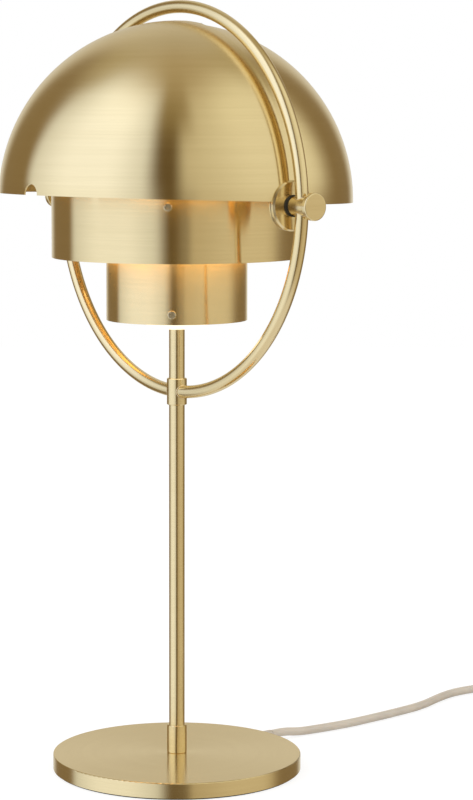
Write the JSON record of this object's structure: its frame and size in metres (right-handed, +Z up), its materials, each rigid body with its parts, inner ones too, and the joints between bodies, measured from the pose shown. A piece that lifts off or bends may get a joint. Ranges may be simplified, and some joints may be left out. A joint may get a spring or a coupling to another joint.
{
  "type": "dome shade desk lamp",
  "caption": "Desk lamp with a round base, a slim stem and a ring that carries quarter sphere shades, turning on side pivots over stepped cylinders.",
  "frame": {"origin": "centre of the base's underside, on the table", "axes": "+X along the shades' cross axis, +Y towards the side that the lead leaves, +Z up the stem"},
  "size_m": [0.2999, 0.4787, 0.4994],
  "materials": {
    "brass": "satin brushed",
    "screw": "turned",
    "pin": "polished",
    "steel": "zinc plated",
    "black": "matt",
    "nylon": "matt",
    "foam": "fine foam",
    "opal": "opal",
    "bulb_white": "smooth",
    "bulb_metal": "threaded",
    "globe": "opal",
    "cord": "smooth",
    "tie": "smooth",
    "fitting": "smooth",
    "slider": "ribbed"
  },
  "bodies": {
    "stand": {"base_collar": "brass", "base_cover": "brass", "base_nut": "steel", "base_pad": "foam", "base_washer": "steel", "base_weight": "steel", "bulb_cap": "bulb_metal", "bulb_globe": "globe", "bulb_housing": "bulb_white", "cord_coil": "cord", "cord_gland": "cord", "cord_lead": "cord", "cord_link": "cord", "cord_stop": "black", "cord_tail": "cord", "cord_tie_back": "tie", "cord_tie_front": "tie", "diffuser": "opal", "far_clamp_washer": "steel", "far_ear_washer": "nylon", "far_pivot_bush": "black", "far_pivot_disc": "brass", "far_pivot_sleeve": "brass", "far_pivot_stud": "screw", "holder_body": "black", "holder_cap": "black", "holder_contact": "screw", "holder_core": "black", "holder_ring": "black", "holder_shell": "screw", "inner_cord": "cord", "lead_cores": "cord", "lower_cylinder": "brass", "lower_cylinder_screws": "screw", "lower_spider": "steel", "lower_stem": "brass", "near_clamp_washer": "steel", "near_ear_washer": "nylon", "near_pivot_bush": "black", "near_pivot_disc": "brass", "near_pivot_sleeve": "brass", "near_pivot_stud": "screw", "plug_body": "fitting", "plug_pins": "pin", "ring_collar": "brass", "ring_lower_arc_far": "brass", "ring_lower_arc_near": "brass", "ring_upper_arc": "brass", "spider_nut": "steel", "switch_base": "fitting", "switch_cover": "fitting", "upper_cylinder": "brass", "upper_cylinder_screws": "screw", "upper_spider": "steel", "upper_stem": "brass"},
    "front_shade": {"front_shade": "brass"},
    "back_shade": {"back_shade": "brass"},
    "near_knob": {"near_knob": "brass"},
    "far_knob": {"far_knob": "brass"},
    "switch_slider": {"switch_slider": "slider"}
  },
  "joints": [
    {"name": "front_shade_turn", "type": "hinge", "parent": "stand", "child": "front_shade", "pos_m": [0, 0, 0.3722], "axis": [1, 0, 0], "range_deg": [-173, 91.7]},
    {"name": "back_shade_turn", "type": "hinge", "parent": "stand", "child": "back_shade", "pos_m": [0, 0, 0.3722], "axis": [1, 0, 0], "range_deg": [-88.9, 173]},
    {"name": "near_knob_turn", "type": "hinge", "parent": "stand", "child": "near_knob", "pos_m": [0.135, 0, 0.3722], "axis": [1, 0, 0], "range_deg": [0, 180]},
    {"name": "far_knob_turn", "type": "hinge", "parent": "stand", "child": "far_knob", "pos_m": [-0.135, 0, 0.3722], "axis": [-1, 0, 0], "range_deg": [0, 180]},
    {"name": "switch_slide", "type": "slide", "parent": "stand", "child": "switch_slider", "axis": [1, 0, 0], "range_m": [0, 0.006]}
  ]
}
